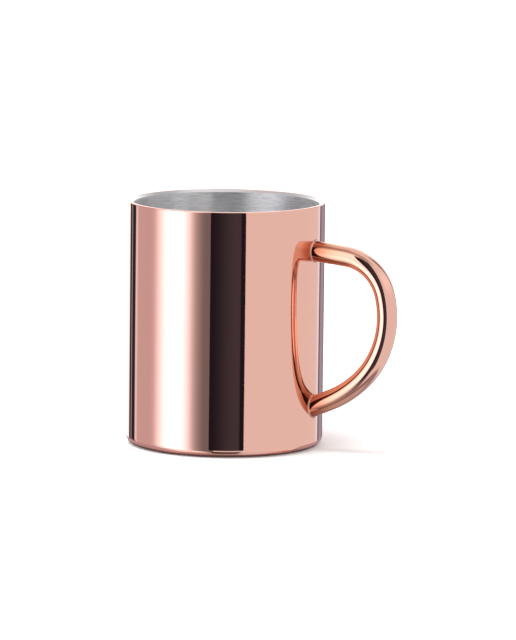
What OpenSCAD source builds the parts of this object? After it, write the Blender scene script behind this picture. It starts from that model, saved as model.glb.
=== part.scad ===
// Double-walled copper mug with a welded tube handle.
// +Z is up and the origin is the centre of the foot ring, on the table.
// The handle points along +X, in the XZ plane. Millimetres.

/* [Body] */
// Outside diameter of the body
body_d = 77; // [74:0.5:84]
// Height from the table to the top of the rim
body_h = 95.5; // [92:0.5:106]
// Sheet thickness of the outer shell
shell_t = 0.6; // [0.4:0.1:0.8]
// Outside radius of the rounded lower edge
edge_r = 3.5; // [3:0.5:5]
// Width of the flat ring that the mug stands on
foot_land = 1.9; // [1.5:0.1:3]

/* [Liner] */
// Sheet thickness of the liner
liner_t = 0.5; // [0.4:0.1:0.7]
// Air gap between the shell and the liner
air_gap = 1.1; // [0.8:0.1:2]
// Height of the liner's floor above the table
floor_z = 7; // [6.5:0.5:10]
// Inside radius between the liner's floor and wall
floor_r = 6; // [3:0.5:9]
// Width and height of the bevel that opens the liner to the rim
bevel = 1.1; // [0.9:0.1:1.3]

/* [Base] */
// Sheet thickness of the base plate
plate_t = 0.6; // [0.4:0.1:0.8]
// Depth from the table to the plate's outer flat
recess = 3; // [2.8:0.1:3.2]
// Radius of the raised centre of the plate
centre_r = 20; // [12:1:24]
// Height of the step up to the raised centre
centre_step = 0.8; // [0.4:0.1:1]

/* [Handle] */
// Outside diameter of the handle's tube
tube_d = 8; // [7:0.5:9]
// Wall thickness of the tube
tube_t = 0.8; // [0.6:0.1:1.2]
// Height of the tube's centreline at the body's wall, at the top
top_z = 78.2; // [76:0.1:80]
// Downward slope of the straight at the top, in degrees
top_dip = 5.5; // [3:0.5:7]
// Length of the straight at the top, outside the wall
top_run = 13.5; // [12:0.5:14]
// Centreline radius of the tight bend at the top
top_bend_r = 18.5; // [18:0.5:19.5]
// Centreline radius of the long bend down the grip
grip_bend_r = 35; // [33:0.5:36]
// Centreline radius of the easy bend at the bottom
low_bend_r = 45; // [40:1:50]
// Width and height of the weld round each end of the tube
weld_leg = 0.6; // [0.4:0.1:0.8]

/* [Hidden] */
$fn = 180;

copper = [0.87, 0.58, 0.48];
deep_copper = [0.76, 0.44, 0.34];
steel = [0.72, 0.73, 0.75];

// Body
body_r = body_d / 2;
shell_in_r = body_r - shell_t;
liner_out_r = shell_in_r - air_gap;
liner_in_r = liner_out_r - liner_t;

// Rim: the weld joins the shell's top edge to the flared edge of the liner
weld_h = 0.9;
rim_round = 0.4;
shell_top_z = body_h - weld_h;
lip_r = liner_in_r + bevel;
bevel_z = body_h - bevel;
lip_back = liner_t * (sqrt(2) - 1);

// Foot: the shell's lower edge turns in, then up into a collar round the plate
edge_c = body_r - edge_r;
upturn_r = 1.6;
upturn_c = edge_c - foot_land;
collar_in_r = upturn_c - upturn_r;
collar_top_z = 4.2;

// Base plate: a flat disc whose edge turns down inside the collar. The flange
// stops above the collar's turn, which leaves room for the weld.
plate_turn_r = 1;
plate_turn_z = recess + plate_t - plate_turn_r;
plate_turn_c = collar_in_r - plate_turn_r;
flange_z = upturn_r + plate_t;

// Handle
tube_r = tube_d / 2;
// Turns of the three bends. These values keep the joints between them exact.
top_turn = 69.6;
grip_turn = 61.55;
low_turn = 20.4;
// Lengths of rod inside the wall, cut away by the cope
buried = 4;
tail = 24;
mid_z = body_h / 2;

// ---- shared shapes -------------------------------------------------------

// A quarter of a flat ring, centred on c, in the quadrant that starts at angle.
module quarter_ring(c, outer, inner, angle) {
  translate(c) rotate(angle) intersection() {
    difference() {
      circle(outer);
      circle(inner);
    }
    square(outer + 1);
  }
}

// A rectangle between two corners.
module span(from, to) {
  translate(from) square(to - from);
}

module body_cylinder(r) {
  translate([0, 0, -20]) cylinder(r = r, h = body_h + 40);
}

// ---- body ----------------------------------------------------------------

module outer_shell() {
  color(copper) rotate_extrude() {
    span([shell_in_r, edge_r], [body_r, shell_top_z]);
    quarter_ring([edge_c, edge_r], edge_r, edge_r - shell_t, 270);
    span([upturn_c, 0], [edge_c, shell_t]);
    quarter_ring([upturn_c, upturn_r], upturn_r, upturn_r - shell_t, 180);
    span([collar_in_r, upturn_r], [collar_in_r + shell_t, collar_top_z]);
  }
}

// Deep-drawn cup. Its top edge opens in a 45 degree bevel to meet the rim.
module inner_liner() {
  corner = [liner_in_r - floor_r, floor_z + floor_r];
  color(steel) rotate_extrude() {
    span([0, floor_z - liner_t], [corner[0], floor_z]);
    quarter_ring(corner, floor_r + liner_t, floor_r, 270);
    polygon([
      [liner_in_r, corner[1]], [liner_out_r, corner[1]],
      [liner_out_r, bevel_z - lip_back], [lip_r, body_h - liner_t - lip_back],
      [lip_r, body_h], [liner_in_r, bevel_z]
    ]);
  }
}

// Polished bead that closes the gap between the liner's edge and the shell.
module rim_weld() {
  color(copper) rotate_extrude() {
    span([lip_r, shell_top_z], [body_r - rim_round, body_h]);
    span([body_r - rim_round, shell_top_z], [body_r, body_h - rim_round]);
    quarter_ring([body_r - rim_round, body_h - rim_round], rim_round, 0, 0);
  }
}

// ---- base ----------------------------------------------------------------

module plate_section() {
  low = recess;
  high = recess + centre_step;
  polygon([
    [0, high], [centre_r, high], [centre_r + centre_step, low],
    [plate_turn_c, low], [plate_turn_c, low + plate_t],
    [centre_r + centre_step, low + plate_t], [centre_r, high + plate_t],
    [0, high + plate_t]
  ]);
  quarter_ring([plate_turn_c, plate_turn_z], plate_turn_r, plate_turn_r - plate_t, 0);
  span([collar_in_r - plate_t, flange_z], [collar_in_r, plate_turn_z]);
}

module base_plate() {
  color(copper) rotate_extrude() plate_section();
}

// Fillet weld under the edge of the plate's flange, against the collar.
module base_weld() {
  color(deep_copper) rotate_extrude() polygon([
    [collar_in_r - plate_t, flange_z], [collar_in_r, upturn_r], [collar_in_r, flange_z]
  ]);
}

// ---- handle --------------------------------------------------------------

// A straight rod along +X. Its children carry on from its far end.
module straight(run, radius) {
  rotate([0, 90, 0]) cylinder(r = radius, h = run);
  translate([run, 0, 0]) children();
}

// A bend that turns down by angle, under 90, at radius r: the part of a torus
// between its two end planes. Its children carry on from the second of them.
module bend(r, angle, radius) {
  translate([0, 0, -r]) {
    intersection() {
      rotate([90, 0, 0]) rotate_extrude(angle = 180) translate([r, 0]) circle(radius);
      translate([0, -r, 0]) cube(2 * r);
      rotate([0, angle, 0]) translate([-2 * r, -r, 0]) cube(2 * r);
    }
    rotate([0, angle, 0]) translate([0, 0, r]) children();
  }
}

// A solid rod along the handle, from inside the wall at the top to inside it below.
module handle_rod(radius) {
  $fn = 72;
  translate([body_r, 0, top_z]) rotate([0, top_dip, 0]) translate([-buried, 0, 0])
    straight(buried + top_run, radius)
      bend(top_bend_r, top_turn, radius)
        bend(grip_bend_r, grip_turn, radius)
          bend(low_bend_r, low_turn, radius)
            straight(tail, radius);
}

// Hollow tube, coped at both ends to sit on the shell.
module handle_tube() {
  color(copper) difference() {
    handle_rod(tube_r);
    handle_rod(tube_r - tube_t);
    body_cylinder(body_r);
  }
}

// Bead round each end of the tube: what lies within a weld's leg of both the
// tube and the shell.
module weld_beads() {
  difference() {
    intersection() {
      handle_rod(tube_r + weld_leg);
      body_cylinder(body_r + weld_leg);
    }
    handle_rod(tube_r);
    body_cylinder(body_r);
  }
}

module upper_handle_weld() {
  color(deep_copper) intersection() {
    weld_beads();
    translate([0, -body_r, mid_z]) cube([body_d, body_d, body_h]);
  }
}

module lower_handle_weld() {
  color(deep_copper) intersection() {
    weld_beads();
    translate([0, -body_r, mid_z - body_h]) cube([body_d, body_d, body_h]);
  }
}

outer_shell();
inner_liner();
rim_weld();
base_plate();
base_weld();
handle_tube();
upper_handle_weld();
lower_handle_weld();
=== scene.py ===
"""Looks of the double-walled copper mug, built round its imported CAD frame.

Metres, +Z up, origin at the centre of the foot ring, handle along +X.
"""

import math

import bmesh
import bpy
from mathutils import Matrix, Vector


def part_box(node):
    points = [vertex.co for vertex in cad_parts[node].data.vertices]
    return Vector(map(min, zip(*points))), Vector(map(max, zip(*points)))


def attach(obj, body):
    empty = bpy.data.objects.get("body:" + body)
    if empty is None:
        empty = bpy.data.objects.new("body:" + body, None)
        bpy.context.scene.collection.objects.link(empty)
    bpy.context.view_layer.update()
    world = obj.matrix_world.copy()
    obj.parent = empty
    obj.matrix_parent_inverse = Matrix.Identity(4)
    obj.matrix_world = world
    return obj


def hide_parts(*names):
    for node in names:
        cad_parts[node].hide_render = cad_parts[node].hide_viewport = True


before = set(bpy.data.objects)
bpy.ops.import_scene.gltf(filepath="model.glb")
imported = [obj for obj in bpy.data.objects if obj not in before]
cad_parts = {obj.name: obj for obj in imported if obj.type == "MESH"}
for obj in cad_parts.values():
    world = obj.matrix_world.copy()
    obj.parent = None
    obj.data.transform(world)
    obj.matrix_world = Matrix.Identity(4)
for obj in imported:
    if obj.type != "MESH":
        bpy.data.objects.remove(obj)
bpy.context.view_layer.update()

MM = 0.001

# Sizes read from the frame
rim_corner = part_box("rim_weld")[1]
BODY_R = rim_corner.x
BODY_H = rim_corner.z
SHELL_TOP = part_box("outer_shell")[1].z

plate_low, plate_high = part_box("base_plate")
FLANGE_R = plate_high.x
FLANGE_Z = plate_low.z

fillet_low, fillet_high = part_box("base_weld")
FILLET_LOW = fillet_low.z
FILLET_HIGH = fillet_high.z

# Sheet and rim details
SHELL_T = 0.6 * MM
EDGE_R = 3.5 * MM
FOOT_LAND = 1.9 * MM
UPTURN_R = 1.6 * MM
COLLAR_TOP = 4.2 * MM
LINER_T = 0.5 * MM
LINER_R = 36.3 * MM
FLOOR_Z = 7 * MM
FLOOR_R = 6 * MM
BEVEL = 1.1 * MM
RIM_ROUND = 0.4 * MM
LIP_SOFT = 0.1 * MM
LINER_OUT_R = LINER_R + LINER_T
LIP_R = LINER_R + BEVEL
LIP_BACK = LINER_T * (math.sqrt(2) - 1)

# Base plate
PLATE_T = 0.6 * MM
RECESS = 3 * MM
CENTRE_R = 20 * MM
CENTRE_STEP = 0.8 * MM
PLATE_TURN_R = 1 * MM

# Base weld: how far in its face sinks each way, as a share of its width
FILLET_HOLLOW = 0.07

# Handle: a straight, then three tangent bends of (radius, turn in degrees)
TUBE_R = 4 * MM
TUBE_T = 0.8 * MM
TOP_Z = 78.2 * MM
TOP_DIP = 5.5
TOP_RUN = 13.5 * MM
BENDS = ((18.5 * MM, 69.6), (35 * MM, 61.55), (45 * MM, 20.4))

# Welds round the tube's ends: their leg, the fullness of their face, where 0 is most
# hollow and 0.5 is flat, and how deep they reach into the tube and the wall
WELD_LEG = 0.6 * MM
WELD_FULLNESS = 0.18
SINK = 0.02 * MM

# Fineness of the meshes: sides of round pieces, steps along arcs and straights, the
# degrees in one step of the tube's bends, the angle from which an edge is sharp, and
# the radius under which a point is on the axis
TURNED_SIDES = 360
TUBE_SIDES = 96
WIDE_ARC = 24
TIGHT_ARC = 12
RIM_ARC = 10
LIP_ARC = 4
WELD_STEPS = 8
RUN_STEPS = 8
TAIL_STEPS = 4
BEND_STEP = 1.5
SHARP_ANGLE = math.radians(30)
ON_AXIS = 1e-7

# Camera: the direction it looks from, measured from -Y towards +X and up from the
# table, then its roll, its distance in metres, framing and lens
AZIMUTH = math.radians(25.6)
ELEVATION = math.radians(8.3)
ROLL = math.radians(0.684)
DISTANCE = 2.0
AIM_SIDE = 12.78 * MM
AIM_Z = 48.54 * MM
LENS = 287.7
SENSOR = 36
CLIP = (0.05, 50)

# The camera's right, the way to the camera along the table, and up. The studio is
# laid out by them too.
TO_RIGHT = Vector((math.cos(AZIMUTH), math.sin(AZIMUTH), 0))
TO_CAMERA = Vector((math.sin(AZIMUTH), -math.cos(AZIMUTH), 0))
UP = Vector((0, 0, 1))


# ---- camera -----------------------------------------------------------------


def add_camera():
    back = TO_CAMERA * math.cos(ELEVATION) + UP * math.sin(ELEVATION)
    level_top = back.cross(TO_RIGHT)
    side = TO_RIGHT * math.cos(ROLL) + level_top * math.sin(ROLL)
    top = level_top * math.cos(ROLL) - TO_RIGHT * math.sin(ROLL)
    place = TO_RIGHT * AIM_SIDE + UP * AIM_Z + back * DISTANCE
    data = bpy.data.cameras.new("camera")
    data.lens = LENS
    data.sensor_width = SENSOR
    data.sensor_fit = "AUTO"
    data.clip_start, data.clip_end = CLIP
    camera = bpy.data.objects.new("camera", data)
    camera.matrix_world = Matrix((
        (side.x, top.x, back.x, place.x),
        (side.y, top.y, back.y, place.y),
        (side.z, top.z, back.z, place.z),
        (0, 0, 0, 1),
    ))
    bpy.context.scene.collection.objects.link(camera)
    bpy.context.scene.camera = camera


# ---- mesh helpers -----------------------------------------------------------


def mesh_object(name, vertices, faces, material, smooth=True):
    mesh = bpy.data.meshes.new(name)
    mesh.from_pydata([tuple(v) for v in vertices], [], faces)
    work = bmesh.new()
    work.from_mesh(mesh)
    bmesh.ops.recalc_face_normals(work, faces=work.faces)
    work.to_mesh(mesh)
    work.free()
    mesh.polygons.foreach_set("use_smooth", [smooth] * len(mesh.polygons))
    mesh.set_sharp_from_angle(angle=SHARP_ANGLE)
    mesh.materials.append(material)
    piece = bpy.data.objects.new(name, mesh)
    bpy.context.scene.collection.objects.link(piece)
    return piece


def arc(centre, radius, start, end, steps):
    """Points (r, z) on an arc, from one angle to the other, in degrees."""
    points = []
    for i in range(steps + 1):
        angle = math.radians(start + (end - start) * i / steps)
        points.append((
            centre[0] + radius * math.cos(angle),
            centre[1] + radius * math.sin(angle),
        ))
    return points


def lathe(name, profile, material, closed=True):
    """Turns a profile of (r, z) points about Z.

    A point on the axis becomes one vertex, and the faces that meet it are triangles.
    """
    vertices = []
    rings = []
    for r, z in profile:
        if r < ON_AXIS:
            rings.append([len(vertices)] * TURNED_SIDES)
            vertices.append((0, 0, z))
            continue
        rings.append(list(range(len(vertices), len(vertices) + TURNED_SIDES)))
        for i in range(TURNED_SIDES):
            angle = 2 * math.pi * i / TURNED_SIDES
            vertices.append((r * math.cos(angle), r * math.sin(angle), z))
    count = len(rings)
    faces = []
    for k in range(count if closed else count - 1):
        low, high = rings[k], rings[(k + 1) % count]
        for i in range(TURNED_SIDES):
            j = (i + 1) % TURNED_SIDES
            face = list(dict.fromkeys((low[i], low[j], high[j], high[i])))
            if len(face) > 2:
                faces.append(face)
    return mesh_object(name, vertices, faces, material)


def finish_piece(piece, node):
    """Ties a visual piece to the frame and hides the CAD node that it stands for."""
    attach(piece, "root")
    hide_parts(node)


# ---- materials --------------------------------------------------------------


class Nodes:
    """Short calls for a node tree, which they fill from empty."""

    def __init__(self, tree):
        self.tree = tree
        self.tree.nodes.clear()

    def add(self, kind, **inputs):
        node = self.tree.nodes.new(kind)
        for name, value in inputs.items():
            self.put(node.inputs[name.replace("_", " ")], value)
        return node

    def put(self, socket, value):
        if isinstance(value, bpy.types.NodeSocket):
            self.tree.links.new(value, socket)
        else:
            socket.default_value = value

    def end(self, shader, kind="ShaderNodeOutputMaterial"):
        self.put(self.tree.nodes.new(kind).inputs["Surface"], shader)

    def coordinate(self, name):
        return self.tree.nodes.new("ShaderNodeTexCoord").outputs[name]

    def split(self, vector):
        return self.add("ShaderNodeSeparateXYZ", Vector=vector).outputs

    def math(self, operation, *values, clamp=False):
        node = self.tree.nodes.new("ShaderNodeMath")
        node.operation = operation
        node.use_clamp = clamp
        for socket, value in zip(node.inputs, values):
            self.put(socket, value)
        return node.outputs[0]

    def dot(self, a, b):
        """The dot product of two short lists of values."""
        total = self.math("MULTIPLY", a[0], b[0])
        for p, q in zip(a[1:], b[1:]):
            total = self.math("ADD", total, self.math("MULTIPLY", p, q))
        return total

    def length(self, *values):
        return self.math("SQRT", self.dot(values, values))

    def noise(self, vector, scale, detail, roughness=0.5):
        node = self.add(
            "ShaderNodeTexNoise", Vector=vector, Scale=scale, Detail=detail, Roughness=roughness
        )
        return node.outputs["Fac"]

    def spread(self, value, low, high):
        """Maps a value from 0..1 to low..high."""
        node = self.add("ShaderNodeMapRange", Value=value)
        node.inputs["To Min"].default_value = low
        node.inputs["To Max"].default_value = high
        return node.outputs["Result"]

    def mask(self, value, low, high):
        """Rises smoothly from 0 at low to 1 at high, or falls where low is above high."""
        node = self.add("ShaderNodeMapRange", Value=value)
        node.interpolation_type = "SMOOTHSTEP"
        node.inputs["From Min"].default_value = min(low, high)
        node.inputs["From Max"].default_value = max(low, high)
        node.inputs["To Min"].default_value = 0.0 if low < high else 1.0
        node.inputs["To Max"].default_value = 1.0 if low < high else 0.0
        return node.outputs["Result"]

    def blend(self, factor, a, b):
        node = self.tree.nodes.new("ShaderNodeMix")
        node.data_type = "RGBA"
        self.put(node.inputs["Factor"], factor)
        self.put(node.inputs["A"], a)
        self.put(node.inputs["B"], b)
        return node.outputs["Result"]

    def mix_shaders(self, factor, a, b):
        node = self.add("ShaderNodeMixShader", Fac=factor)
        self.put(node.inputs[1], a)
        self.put(node.inputs[2], b)
        return node.outputs[0]

    def scaled(self, vector, scale):
        return self.add("ShaderNodeMapping", Vector=vector, Scale=scale).outputs["Vector"]

    def bump(self, height, distance, strength):
        node = self.add("ShaderNodeBump", Height=height, Distance=distance, Strength=strength)
        return node.outputs["Normal"]


def new_material(name):
    material = bpy.data.materials.new(name)
    material.use_nodes = True
    return material, Nodes(material.node_tree)


def surface(nodes, **inputs):
    nodes.end(nodes.add("ShaderNodeBsdfPrincipled", **inputs).outputs[0])


# Copper plate and welds: their colours and the largest share of the deep one, their
# roughness and how haze varies it, and the height of the waves that polishing left
COPPER = (0.93, 0.545, 0.45, 1)
DEEP_COPPER = (0.90, 0.49, 0.39, 1)
WELD_COPPER = (0.74, 0.37, 0.29, 1)
DEEP_WELD_COPPER = (0.60, 0.26, 0.20, 1)
DEEP_SHARE = 0.35
PLATE_ROUGHNESS = 0.035
WELD_ROUGHNESS = 0.09
HAZE = (0.8, 1.3)
POLISHING_WAVES = 0.01 * MM

# Painted reflections on the tube's plate: golden ones of the body by the way it faces, from -1 away
# from the middle of the grip's opening to 1 towards it, and amber and then red ones by the distance
# to the wall
PAINTED_BODY_REFLECTION = (0.92, 0.50, 0.36, 1)
PAINTED_BODY_REFLECTION_FACING = (-0.5, 0.2)
GRIP_X = BODY_R + 8 * MM
GRIP_Z = 51 * MM
PAINTED_AMBER_REFLECTION = (0.80, 0.40, 0.25, 1)
PAINTED_AMBER_REFLECTION_REACH = 30 * MM
PAINTED_RED_REFLECTION = (0.50, 0.15, 0.08, 1)
PAINTED_RED_REFLECTION_REACH = 11 * MM

# Brushed steel: the small weight of the angle, which draws streaks out round the axis,
# the fineness of its two kinds of streak and the share of the fine ones, where a
# streak turns from dull to white, its colours and roughness, and the brushing's depth
ANGLE_WEIGHT = 0.0025
FINE_STREAKS = 6000.0
BROAD_STREAKS = 2400.0
FINE_SHARE = 0.35
STREAK_EDGES = (0.36, 0.64)
DULL_STEEL = (0.72, 0.73, 0.75, 1)
WHITE_STEEL = (1.0, 1.0, 1.0, 1)
BRUSHED_ROUGHNESS = (0.30, 0.36)
BRUSH_DEPTH = 0.004 * MM

# Polished steel at the lip, whose haze varies its colour and roughness
GREY_LIP = (0.76, 0.75, 0.76, 1)
PALE_LIP = (0.87, 0.86, 0.87, 1)
LIP_ROUGHNESS = (0.28, 0.36)

FLOOR_GREYS = ((0.80, 0.80, 0.80, 1), (0.82, 0.82, 0.82, 1))


def painted_tube_reflections(nodes, place, base):
    """The tube's plate with painted reflections: golden where it faces the grip's middle, amber and
    then red by the wall.
    """
    x, y, z = nodes.split(place)
    normal_x, _, normal_z = nodes.split(nodes.coordinate("Normal"))
    inward = (nodes.math("SUBTRACT", GRIP_X, x), nodes.math("SUBTRACT", GRIP_Z, z))
    facing_in = nodes.dot(inward, (normal_x, normal_z))
    facing_in = nodes.math("DIVIDE", facing_in, nodes.length(*inward))
    # Painted reflection of the copper body, golden, where the tube faces the grip's middle
    base = nodes.blend(nodes.mask(facing_in, *PAINTED_BODY_REFLECTION_FACING), base, PAINTED_BODY_REFLECTION)
    radius = nodes.length(x, y)
    # Painted reflections of the copper wall, amber and then red, nearing the wall
    for tint, reach in ((PAINTED_AMBER_REFLECTION, PAINTED_AMBER_REFLECTION_REACH), (PAINTED_RED_REFLECTION, PAINTED_RED_REFLECTION_REACH)):
        base = nodes.blend(nodes.mask(radius, BODY_R + reach, BODY_R), base, tint)
    return base


def polished_copper(name, colour, deep, roughness, paint_reflections=None):
    """Mirror-polished copper plate: faint haze, slight tint changes, polishing waves, and painted
    reflections when they are given.
    """
    material, nodes = new_material(name)
    place = nodes.coordinate("Object")
    tint = nodes.noise(place, scale=38.0, detail=3.0)
    haze = nodes.noise(place, scale=220.0, detail=4.0, roughness=0.6)
    waves = nodes.noise(nodes.scaled(place, (1, 1, 0.25)), scale=60.0, detail=1.0)
    base = nodes.blend(nodes.spread(tint, 0.0, DEEP_SHARE), colour, deep)
    if paint_reflections:
        base = paint_reflections(nodes, place, base)
    surface(
        nodes,
        Base_Color=base,
        Metallic=1.0,
        Roughness=nodes.spread(haze, roughness * HAZE[0], roughness * HAZE[1]),
        Normal=nodes.bump(waves, POLISHING_WAVES, strength=1.0),
    )
    return material


def brushed_steel():
    """Stainless steel brushed in fine rings round the axis."""
    material, nodes = new_material("brushed_steel")
    x, y, z = nodes.split(nodes.coordinate("Object"))
    along = nodes.math("MULTIPLY", nodes.math("ARCTAN2", y, x), ANGLE_WEIGHT)
    across = nodes.math("ADD", nodes.length(x, y), z)
    rings = nodes.add("ShaderNodeCombineXYZ", X=along, Y=across, Z=0.0).outputs[0]
    fine = nodes.noise(rings, FINE_STREAKS, detail=2.0)
    broad = nodes.noise(rings, BROAD_STREAKS, detail=2.0)
    streaks = nodes.dot((fine, broad), (FINE_SHARE, 1 - FINE_SHARE))
    streaks = nodes.mask(streaks, *STREAK_EDGES)
    surface(
        nodes,
        Base_Color=nodes.blend(streaks, DULL_STEEL, WHITE_STEEL),
        Metallic=1.0,
        Roughness=nodes.spread(streaks, *BRUSHED_ROUGHNESS),
        Anisotropic=1.0,
        Anisotropic_Rotation=0.25,
        Normal=nodes.bump(fine, BRUSH_DEPTH, strength=0.5),
    )
    return material


def polished_steel():
    """The bevel at the lip: bright, with a fine haze."""
    material, nodes = new_material("polished_steel")
    haze = nodes.noise(nodes.coordinate("Object"), scale=400.0, detail=3.0)
    surface(
        nodes,
        Base_Color=nodes.blend(haze, GREY_LIP, PALE_LIP),
        Metallic=1.0,
        Roughness=nodes.spread(haze, *LIP_ROUGHNESS),
    )
    return material


def floor_material():
    """Pale matt floor with a faint mottle."""
    material, nodes = new_material("floor")
    mottle = nodes.noise(nodes.coordinate("Object"), scale=6.0, detail=2.0)
    surface(nodes, Base_Color=nodes.blend(mottle, *FLOOR_GREYS), Roughness=0.9)
    return material


copper = polished_copper("polished_copper", COPPER, DEEP_COPPER, PLATE_ROUGHNESS)
# The tube's copper carries painted reflections
tube_copper_painted_reflections = polished_copper("tube_copper_painted_reflections", COPPER, DEEP_COPPER, PLATE_ROUGHNESS, painted_tube_reflections)
weld_copper = polished_copper("weld_copper", WELD_COPPER, DEEP_WELD_COPPER, WELD_ROUGHNESS)
steel = brushed_steel()
bright_steel = polished_steel()


# ---- body -------------------------------------------------------------------


def make_outer_shell():
    edge_c = BODY_R - EDGE_R
    inside = BODY_R - SHELL_T
    turn_c = edge_c - FOOT_LAND
    collar = turn_c - UPTURN_R
    profile = [(BODY_R, SHELL_TOP), (BODY_R, SHELL_TOP / 2)]
    profile += arc((edge_c, EDGE_R), EDGE_R, 0, -90, WIDE_ARC)
    profile += arc((turn_c, UPTURN_R), UPTURN_R, 270, 180, TIGHT_ARC)
    profile += [(collar, COLLAR_TOP), (collar + SHELL_T, COLLAR_TOP)]
    profile += arc((turn_c, UPTURN_R), UPTURN_R - SHELL_T, 180, 270, TIGHT_ARC)
    profile += arc((edge_c, EDGE_R), EDGE_R - SHELL_T, -90, 0, WIDE_ARC)
    profile += [(inside, SHELL_TOP)]
    finish_piece(lathe("Outer_Wall", profile, copper), "outer_shell")


def make_rim():
    profile = arc((BODY_R - RIM_ROUND, BODY_H - RIM_ROUND), RIM_ROUND, 0, 90, RIM_ARC)
    profile += arc((LIP_R + LIP_SOFT, BODY_H - LIP_SOFT), LIP_SOFT, 90, 180, LIP_ARC)
    profile += [(LIP_R, SHELL_TOP), (BODY_R, SHELL_TOP)]
    finish_piece(lathe("Rim_Weld", profile, copper), "rim_weld")


def make_liner():
    corner = (LINER_R - FLOOR_R, FLOOR_Z + FLOOR_R)
    bevel_z = BODY_H - BEVEL
    profile = [(0, FLOOR_Z), (corner[0] / 2, FLOOR_Z)]
    profile += arc(corner, FLOOR_R, -90, 0, WIDE_ARC)
    profile += [(LINER_R, bevel_z), (LIP_R, BODY_H - LIP_SOFT)]
    profile += [(LIP_R, BODY_H - LINER_T - LIP_BACK), (LINER_OUT_R, bevel_z - LIP_BACK)]
    profile += arc(corner, FLOOR_R + LINER_T, 0, -90, WIDE_ARC)
    profile += [(0, FLOOR_Z - LINER_T)]
    piece = lathe("Inner_Liner", profile, steel, closed=False)
    piece.data.materials.append(bright_steel)
    for face in piece.data.polygons:
        if face.center.z > bevel_z:
            face.material_index = 1
    finish_piece(piece, "inner_liner")


def make_base_plate():
    low, high = RECESS, RECESS + CENTRE_STEP
    turn_c = FLANGE_R - PLATE_TURN_R
    turn_z = low + PLATE_T - PLATE_TURN_R
    profile = [(0, high), (CENTRE_R, high), (CENTRE_R + CENTRE_STEP, low)]
    profile += arc((turn_c, turn_z), PLATE_TURN_R - PLATE_T, 90, 0, TIGHT_ARC)
    profile += [(FLANGE_R - PLATE_T, FLANGE_Z), (FLANGE_R, FLANGE_Z)]
    profile += arc((turn_c, turn_z), PLATE_TURN_R, 0, 90, TIGHT_ARC)
    profile += [(CENTRE_R + CENTRE_STEP, low + PLATE_T), (CENTRE_R, high + PLATE_T)]
    profile += [(0, high + PLATE_T)]
    piece = lathe("Base_Plate", profile, copper, closed=False)
    finish_piece(piece, "base_plate")


def make_base_weld():
    """Fillet between the plate's flange and the collar, with a slightly hollow face."""
    inner = FLANGE_R - PLATE_T
    profile = [(inner, FILLET_HIGH)]
    for i in range(1, WELD_STEPS):
        t = i / WELD_STEPS
        sag = 4 * FILLET_HOLLOW * PLATE_T * t * (1 - t)
        z = FILLET_HIGH + (FILLET_LOW - FILLET_HIGH) * t
        profile.append((inner + PLATE_T * t + sag, z + sag))
    profile += [(FLANGE_R, FILLET_LOW), (FLANGE_R, FILLET_HIGH)]
    finish_piece(lathe("Base_Weld", profile, weld_copper), "base_weld")


# ---- handle -----------------------------------------------------------------


def straight_points(x, z, heading, run, steps):
    """Points (x, z, heading) every run / steps from a start, on a straight."""
    angle = math.radians(heading)
    points = []
    for i in range(steps + 1):
        reach = run * i / steps
        points.append((x + reach * math.cos(angle), z - reach * math.sin(angle), heading))
    return points


def bend_points(x, z, heading, radius, turn):
    """Points (x, z, heading) from a start, on an arc that turns down by turn degrees."""
    start = math.radians(heading)
    centre_x = x - radius * math.sin(start)
    centre_z = z - radius * math.cos(start)
    steps = max(RUN_STEPS, round(turn / BEND_STEP))
    points = []
    for i in range(steps + 1):
        angle = start + math.radians(turn) * i / steps
        points.append((
            centre_x + radius * math.sin(angle),
            centre_z + radius * math.cos(angle),
            math.degrees(angle),
        ))
    return points


def handle_path():
    """Points down the tube's centreline with their headings, in degrees below +X."""
    path = straight_points(BODY_R, TOP_Z, TOP_DIP, TOP_RUN, RUN_STEPS)
    for radius, turn in BENDS:
        path += bend_points(*path.pop(), radius, turn)
    x, z, heading = path.pop()
    tail = (BODY_R - x) / math.cos(math.radians(heading))
    return path + straight_points(x, z, heading, tail, TAIL_STEPS)


def frame_at(point):
    """The centre, direction and in-plane normal of the tube at one point of its path."""
    x, z, heading = point
    angle = math.radians(heading)
    centre = Vector((x, 0, z))
    along = Vector((math.cos(angle), 0, -math.sin(angle)))
    normal = Vector((math.sin(angle), 0, math.cos(angle)))
    return centre, along, normal


def round_the_tube(point, radius, sides):
    """Ring of (vertex, outward direction) round the tube at one point of its path."""
    centre, along, normal = frame_at(point)
    ring = []
    for i in range(sides):
        angle = 2 * math.pi * i / sides
        out = normal * math.cos(angle) + Vector((0, 1, 0)) * math.sin(angle)
        ring.append((centre + out * radius, out))
    return ring


def coped(vertex, along):
    """Slides a vertex along the tube's direction until it lies on the shell."""
    reach = (math.sqrt(BODY_R ** 2 - vertex.y ** 2) - vertex.x) / along.x
    return vertex + along * reach


def make_handle_tube():
    path = handle_path()
    vertices = []
    rings = []
    last = len(path) - 1
    for radius, order in ((TUBE_R, range(last + 1)), (TUBE_R - TUBE_T, range(last, -1, -1))):
        for k in order:
            along = frame_at(path[k])[1]
            ring = [vertex for vertex, _ in round_the_tube(path[k], radius, TUBE_SIDES)]
            if k in (0, last):
                ring = [coped(vertex, along) for vertex in ring]
            rings.append(list(range(len(vertices), len(vertices) + TUBE_SIDES)))
            vertices += ring
    faces = []
    for k, ring in enumerate(rings):
        after = rings[(k + 1) % len(rings)]
        for i in range(TUBE_SIDES):
            j = (i + 1) % TUBE_SIDES
            faces.append((ring[i], ring[j], after[j], after[i]))
    piece = mesh_object("Handle_Tube", vertices, faces, tube_copper_painted_reflections)
    finish_piece(piece, "handle_tube")


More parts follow.
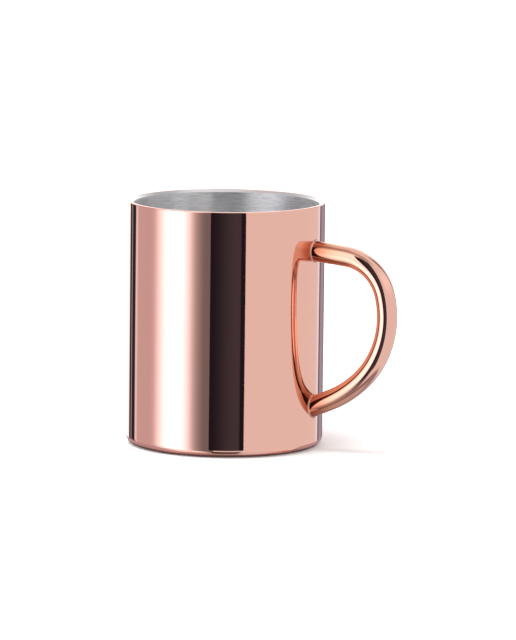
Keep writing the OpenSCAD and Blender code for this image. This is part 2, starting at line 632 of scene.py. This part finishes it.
def make_handle_weld(name, node, point, away):
    """Fillet round one end of the tube. away is the way along the path that leaves the wall."""
    along = frame_at(point)[1]
    ring = round_the_tube(point, TUBE_R, TUBE_SIDES)
    seam = [coped(vertex, along) for vertex, _ in ring]
    vertices = []
    for i, (_, out) in enumerate(ring):
        corner = seam[i]
        run = (seam[(i + 1) % TUBE_SIDES] - seam[i - 1]).normalized()
        wall = Vector((corner.x, corner.y, 0)).normalized()
        up_tube = run.cross(out)
        if up_tube.dot(along) * away < 0:
            up_tube = -up_tube
        up_wall = run.cross(wall)
        if up_wall.dot(out) < 0:
            up_wall = -up_wall
        on_tube = corner + up_tube * WELD_LEG - out * SINK
        on_wall = corner + up_wall * WELD_LEG
        on_wall.xy = on_wall.xy.normalized() * (BODY_R - SINK)
        middle = corner + (up_tube + up_wall) * WELD_LEG * WELD_FULLNESS
        for j in range(WELD_STEPS + 1):
            t = j / WELD_STEPS
            vertices.append(on_tube * (1 - t) ** 2 + middle * 2 * t * (1 - t) + on_wall * t ** 2)
        vertices.append(corner - (out + wall) * SINK)
    span = WELD_STEPS + 2
    faces = []
    for i in range(TUBE_SIDES):
        j = (i + 1) % TUBE_SIDES
        for k in range(span):
            m = (k + 1) % span
            faces.append((i * span + k, j * span + k, j * span + m, i * span + m))
    piece = mesh_object(name, vertices, faces, weld_copper)
    finish_piece(piece, node)


# ---- studio -----------------------------------------------------------------


# The studio round the mug, as cards painted one over the other. Each card has a
# left edge and a right edge round the mug, and a lower and an upper edge in
# elevation. An edge is (where it is half faded, half its softness), in degrees. Round
# the mug, 0 is towards the camera and positive to its right. Last is the card's colour.
GROUND = (0.26, 0.21, 0.225)
CARDS = (
    # sky, dim high on the left
    ((-181, 0.5), (181, 0.5), (-50, 6), (95, 1), (0.92, 0.92, 0.92)),
    ((-120, 25), (35, 15), (54, 9), (78, 5), (0.54, 0.42, 0.39)),
    # far below: paler on the right, and palest straight down
    ((35, 15), (165, 10), (-95, 1), (-54, 4), (0.36, 0.31, 0.33)),
    ((-181, 0.5), (181, 0.5), (-95, 1), (-66, 5), (0.58, 0.54, 0.54)),
    # bright card behind the mug, in two halves
    ((150, 6), (181, 0.5), (-20, 12), (48, 14), (1.5, 1.5, 1.5)),
    ((-181, 0.5), (-152, 5), (-20, 12), (48, 14), (1.5, 1.5, 1.5)),
    # left side: wall, softbox with its hot core and its upper part, dim far end, and
    # the fall-off towards the camera, low and high
    ((-133, 1), (-20, 1), (-50, 6), (56, 8), (0.62, 0.54, 0.57)),
    ((-83, 18), (-20, 1), (-42, 10), (44, 14), (1.15, 1.20, 1.20)),
    ((-80, 14), (-40, 8), (-30, 9), (10, 14), (2.1, 2.1, 2.4)),
    ((-72, 9), (-12, 1), (12, 8), (50, 14), (1.65, 1.64, 1.65)),
    ((-139, 3), (-112, 8), (10, 6), (56, 8), (0.50, 0.46, 0.48)),
    ((-40, 18), (-12, 1), (-50, 8), (8, 6), (0.20, 0.19, 0.205)),
    ((-26, 10), (-12, 1), (6, 6), (54, 12), (0.18, 0.17, 0.19)),
    # right side: wall with its brighter upper part, and dim gaps above its far end
    ((-13, 1), (137, 2), (-50, 5), (56, 10), (0.84, 0.83, 0.83)),
    ((24, 6), (112, 8), (16, 9), (46, 10), (1.02, 1.00, 1.00)),
    ((112, 8), (136, 4), (32, 10), (62, 8), (0.22, 0.20, 0.22)),
    ((124, 8), (143, 3), (8, 6), (40, 10), (0.32, 0.31, 0.32)),
    # narrow strips behind the mug, seen near the body's outlines
    ((-131, 1), (-125, 2), (-40, 10), (2, 4), (0.92, 0.86, 0.90)),
    ((-150, 1.5), (-130.5, 1), (-40, 10), (2, 4), (0.030, 0.030, 0.040)),
    ((-143, 1), (-140.5, 1), (-40, 10), (2, 4), (0.36, 0.42, 0.50)),
    ((137, 1), (143, 1), (-40, 10), (2, 4), (0.90, 1.05, 1.20)),
    ((143, 1), (177, 2), (-40, 10), (2, 4), (0.38, 0.38, 0.48)),
    ((143, 1), (147, 2), (-40, 10), (2, 4), (0.13, 0.10, 0.13)),
    ((162, 6), (177, 2), (-40, 10), (2, 4), (0.24, 0.21, 0.26)),
)

BACKDROP = (0.95, 0.95, 0.95, 1)
FLOOR_HALF = 6.0

# Black card between the mug and the camera. Its sides are measured to the camera's
# right of the mug's axis, and its front towards the camera. A paler part rises and
# falls across it, and it fades out at its foot and top.
FLAG_LEFT = -40.5 * MM
FLAG_RIGHT = 55.5 * MM
FLAG_FRONT = 148 * MM
FLAG_LOW = -60 * MM
FLAG_HIGH = 280 * MM
FLAG_FOOT_FADE = 20 * MM
FLAG_TOP_FADE = 80 * MM
FLAG_RISE = (FLAG_LEFT, 33.3 * MM)
FLAG_FALL = (44.4 * MM, 38.85 * MM)
FLAG_BLACK = (0.014, 0.013, 0.022, 1)
FLAG_PALER = (0.060, 0.056, 0.070, 1)

# Round stand under the mug, a little further back than its axis. It turns glossy
# between two distances towards the camera; behind, it glows with painted shade, and
# under the foot it carries a painted contact shadow.
STAND_R = 44 * MM
STAND_BACK = 2.5 * MM
STAND_DROP = 0.05 * MM
STAND_SIDES = 72
STAND_GLOSSY = (20 * MM, 27 * MM)
STAND_PAINTED_SHADOW_EDGES = (BODY_R + 0.5 * MM, BODY_R - 1.5 * MM)
STAND_PAINTED_SHADE = (0.50, 0.40, 0.44, 1)
STAND_PAINTED_SHADOW = (0.10, 0.08, 0.09, 1)
STAND_GLOSS = (0.88, 0.86, 0.86, 1)
STAND_ROUGHNESS = 0.08


def add_floor():
    corners = [
        (-FLOOR_HALF, -FLOOR_HALF, 0),
        (FLOOR_HALF, -FLOOR_HALF, 0),
        (FLOOR_HALF, FLOOR_HALF, 0),
        (-FLOOR_HALF, FLOOR_HALF, 0),
    ]
    floor = mesh_object("Floor", corners, [(0, 1, 2, 3)], floor_material(), smooth=False)
    floor.visible_glossy = False


def add_studio():
    """The world: the cards for reflections, and a plain backdrop for the camera."""
    world = bpy.data.worlds.new("studio")
    bpy.context.scene.world = world
    world.use_nodes = True
    nodes = Nodes(world.node_tree)
    x, y, z = nodes.split(nodes.coordinate("Generated"))
    right = nodes.dot((x, y), TO_RIGHT.xy)
    front = nodes.dot((x, y), TO_CAMERA.xy)
    around = nodes.math("DEGREES", nodes.math("ARCTAN2", right, front))
    height = nodes.math("DEGREES", nodes.math("ARCSINE", z))
    colour = (*GROUND, 1)
    for left_edge, right_edge, bottom, top, light in CARDS:
        cover = 1.0
        for value, low, high in ((around, left_edge, right_edge), (height, bottom, top)):
            rise = nodes.mask(value, low[0] - low[1], low[0] + low[1])
            fall = nodes.mask(value, high[0] + high[1], high[0] - high[1])
            cover = nodes.math("MULTIPLY", cover, nodes.math("MULTIPLY", rise, fall))
        colour = nodes.blend(cover, colour, (*light, 1))
    seen = nodes.tree.nodes.new("ShaderNodeLightPath").outputs["Is Camera Ray"]
    colour = nodes.blend(seen, colour, BACKDROP)
    shader = nodes.add("ShaderNodeBackground", Color=colour, Strength=1.0)
    nodes.end(shader.outputs[0], "ShaderNodeOutputWorld")


def around_axis(side, front, height):
    """A place given by its distance to the camera's right, towards the camera, and up."""
    return TO_RIGHT * side + TO_CAMERA * front + UP * height


def reflected_only(name, corners, material):
    """A studio card that only mirror reflections see."""
    card = mesh_object(name, corners, [tuple(range(len(corners)))], material, smooth=False)
    card.visible_camera = False
    card.visible_diffuse = False
    card.visible_shadow = False
    card.visible_transmission = False


def flag_material():
    """Black, and clear where the card fades out at its foot and top."""
    material, nodes = new_material("flag")
    x, y, height = nodes.split(nodes.coordinate("Object"))
    across = nodes.dot((x, y), TO_RIGHT.xy)
    paler = nodes.math("MULTIPLY", nodes.mask(across, *FLAG_RISE), nodes.mask(across, *FLAG_FALL))
    rise = nodes.mask(height, FLAG_LOW, FLAG_LOW + FLAG_FOOT_FADE)
    fall = nodes.mask(height, FLAG_HIGH, FLAG_HIGH - FLAG_TOP_FADE)
    solid = nodes.math("MULTIPLY", rise, fall)
    shade = nodes.blend(paler, FLAG_BLACK, FLAG_PALER)
    clear = nodes.add("ShaderNodeBsdfTransparent").outputs[0]
    black = nodes.add("ShaderNodeEmission", Color=shade).outputs[0]
    nodes.end(nodes.mix_shaders(solid, clear, black))
    return material


def add_flag():
    corners = [
        around_axis(FLAG_LEFT, FLAG_FRONT, FLAG_LOW),
        around_axis(FLAG_RIGHT, FLAG_FRONT, FLAG_LOW),
        around_axis(FLAG_RIGHT, FLAG_FRONT, FLAG_HIGH),
        around_axis(FLAG_LEFT, FLAG_FRONT, FLAG_HIGH),
    ]
    reflected_only("Flag", corners, flag_material())


def stand_material():
    """The stand's top: painted shade glowing behind, glossy in front, a painted contact shadow
    under the foot.
    """
    material, nodes = new_material("stand")
    x, y, _ = nodes.split(nodes.coordinate("Object"))
    # Painted contact shadow under the foot
    painted_shadow = nodes.mask(nodes.length(x, y), *STAND_PAINTED_SHADOW_EDGES)
    in_front = nodes.mask(nodes.dot((x, y), TO_CAMERA.xy), *STAND_GLOSSY)
    glossy = nodes.math("SUBTRACT", in_front, painted_shadow, clamp=True)
    # Painted shade, given off as a glow, darkest in the painted shadow under the foot
    shade = nodes.blend(painted_shadow, STAND_PAINTED_SHADE, STAND_PAINTED_SHADOW)
    painted_shade_glow = nodes.add("ShaderNodeEmission", Color=shade).outputs[0]
    gloss = nodes.add(
        "ShaderNodeBsdfGlossy", Color=STAND_GLOSS, Roughness=STAND_ROUGHNESS
    ).outputs[0]
    nodes.end(nodes.mix_shaders(glossy, painted_shade_glow, gloss))
    return material


def add_stand():
    corners = []
    for i in range(STAND_SIDES):
        angle = 2 * math.pi * i / STAND_SIDES
        side, front = STAND_R * math.cos(angle), STAND_R * math.sin(angle)
        corners.append(around_axis(side, front - STAND_BACK, -STAND_DROP))
    reflected_only("Stand", corners, stand_material())


def add_sun(name, azimuth, elevation, strength, soft, shadow):
    """Even light on the floor. The azimuth goes from the camera to its right, in degrees."""
    angle = AZIMUTH + math.radians(azimuth)
    tilt = math.radians(elevation)
    data = bpy.data.lights.new(name, "SUN")
    data.energy = strength
    data.angle = math.radians(soft)
    data.use_shadow = shadow
    lamp = bpy.data.objects.new(name, data)
    away = Vector((
        -math.sin(angle) * math.cos(tilt),
        math.cos(angle) * math.cos(tilt),
        -math.sin(tilt),
    ))
    lamp.rotation_euler = away.to_track_quat("-Z", "Y").to_euler()
    lamp.visible_glossy = False
    bpy.context.scene.collection.objects.link(lamp)


# ---- assembly ---------------------------------------------------------------

add_camera()
make_outer_shell()
make_rim()
make_liner()
make_base_plate()
make_base_weld()
make_handle_tube()
path = handle_path()
make_handle_weld("Upper_Handle_Weld", "upper_handle_weld", path[0], 1)
make_handle_weld("Lower_Handle_Weld", "lower_handle_weld", path[-1], -1)

add_floor()
add_studio()
add_flag()
add_stand()
add_sun("fill", azimuth=0, elevation=89, strength=0.75, soft=10, shadow=False)
add_sun("key", azimuth=-70, elevation=76, strength=2.5, soft=26, shadow=True)

scene = bpy.context.scene
scene.view_settings.view_transform = "Standard"
scene.view_settings.look = "None"
scene.view_settings.exposure = 0
scene.view_settings.gamma = 1
